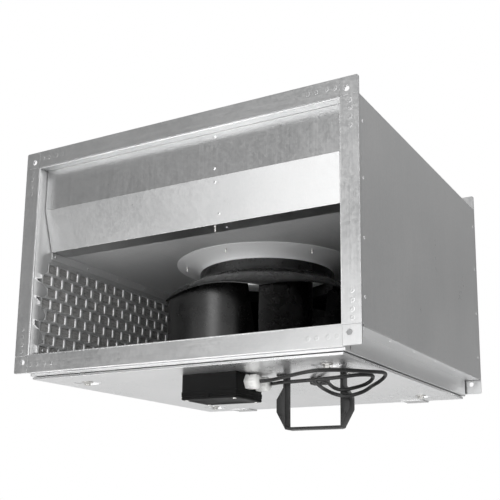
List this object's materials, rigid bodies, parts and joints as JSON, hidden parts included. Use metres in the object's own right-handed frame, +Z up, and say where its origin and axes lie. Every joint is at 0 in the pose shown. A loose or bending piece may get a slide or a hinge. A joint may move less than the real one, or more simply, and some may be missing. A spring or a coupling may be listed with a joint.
{
  "type": "rectangular duct fan",
  "caption": "Sound-insulated rectangular duct fan: flanged sheet-metal casing, inner deck with inlet cone, centrifugal impeller and motor on a swing-down service door, terminal box and handle.",
  "frame": {"origin": "middle of the outlet opening, in the plane of the outlet flange's face", "axes": "+X right when looking into the outlet, +Y through the fan towards the inlet, +Z up; the service door is below"},
  "size_m": [0.66, 0.606, 0.5125],
  "materials": {
    "galvanised_sheet": "galvanised, satin",
    "bright_zinc_sheet": "bright zinc, semi-gloss",
    "mineral_wool": "matt fibre",
    "black_plastic": "satin moulded",
    "white_plastic": "satin moulded",
    "rubber": "matt",
    "steel": "zinc plated",
    "dark_paint": "satin powder coat",
    "cast_aluminium": "fine cast",
    "cable_jacket": "matt sheath",
    "terminal_plastic": "moulded"
  },
  "bodies": {
    "casing": {"deck": "galvanised_sheet", "hinge_case_left": "steel", "hinge_case_right": "steel", "hinge_pin_left": "steel", "hinge_pin_right": "steel", "inlet_baffle": "galvanised_sheet", "inlet_bar_bottom": "galvanised_sheet", "inlet_bar_left": "galvanised_sheet", "inlet_bar_right": "galvanised_sheet", "inlet_bar_top": "galvanised_sheet", "inlet_cone": "bright_zinc_sheet", "inlet_corner_bottom_left": "galvanised_sheet", "inlet_corner_bottom_right": "galvanised_sheet", "inlet_corner_top_left": "galvanised_sheet", "inlet_corner_top_right": "galvanised_sheet", "outlet_baffle": "galvanised_sheet", "outlet_bar_bottom": "galvanised_sheet", "outlet_bar_left": "galvanised_sheet", "outlet_bar_right": "galvanised_sheet", "outlet_bar_top": "galvanised_sheet", "outlet_corner_bottom_left": "galvanised_sheet", "outlet_corner_bottom_right": "galvanised_sheet", "outlet_corner_top_left": "galvanised_sheet", "outlet_corner_top_right": "galvanised_sheet", "service_frame": "galvanised_sheet", "side_liner_left": "galvanised_sheet", "side_liner_right": "galvanised_sheet", "side_skin_left": "galvanised_sheet", "side_skin_right": "galvanised_sheet", "side_wool_left": "mineral_wool", "side_wool_right": "mineral_wool", "top_panel": "galvanised_sheet"},
    "door": {"blanking_plug": "white_plastic", "cable_gland_front": "white_plastic", "cable_gland_rear": "white_plastic", "cable_grommet": "rubber", "door_bolt_1": "steel", "door_bolt_2": "steel", "door_bolt_3": "steel", "door_bolt_4": "steel", "door_gasket": "rubber", "door_panel": "bright_zinc_sheet", "hinge_door_left": "steel", "hinge_door_right": "steel", "lower_bearing": "steel", "motor_cable_front": "cable_jacket", "motor_cable_rear": "cable_jacket", "motor_plate": "galvanised_sheet", "motor_stator": "cast_aluminium", "pull_handle": "dark_paint", "terminal_block": "terminal_plastic", "terminal_box": "black_plastic", "terminal_lid": "black_plastic", "upper_bearing": "steel"},
    "impeller": {"impeller_wheel": "black_plastic", "impeller_shroud": "black_plastic", "rotor_can": "cast_aluminium", "motor_shaft": "steel"}
  },
  "joints": [
    {"name": "door_swing", "type": "hinge", "parent": "casing", "child": "door", "pos_m": [0, 0.6, -0.214], "axis": [1, 0, 0], "range_deg": [0, 90]},
    {"name": "impeller_spin", "type": "hinge", "parent": "door", "child": "impeller", "pos_m": [0, 0.323, -0.2], "axis": [0, 0, 1], "continuous": true}
  ]
}
